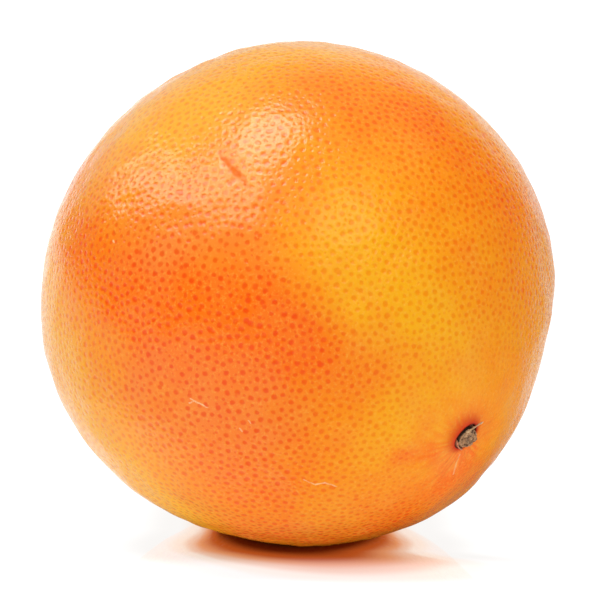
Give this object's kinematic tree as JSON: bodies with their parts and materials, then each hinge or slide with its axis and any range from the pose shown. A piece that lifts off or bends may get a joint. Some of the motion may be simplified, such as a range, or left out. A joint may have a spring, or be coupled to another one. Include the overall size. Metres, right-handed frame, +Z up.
{
  "type": "grapefruit",
  "caption": "Whole red grapefruit with blushed, dimpled peel and a woody stem button, lying on a small flat spot.",
  "frame": {"origin": "on the flat spot that the fruit rests on, straight under the fruit's middle", "axes": "+Z up from the resting spot; the stem button is towards +X and -Y, below the middle, and the blossom end is opposite it; X and Y are level and otherwise free"},
  "size_m": [0.1029, 0.102, 0.1003],
  "materials": {
    "peel": "satin",
    "stem_wood": "matte"
  },
  "bodies": {
    "root": {"fruit": "peel", "stem_button": "stem_wood"}
  },
  "joints": []
}
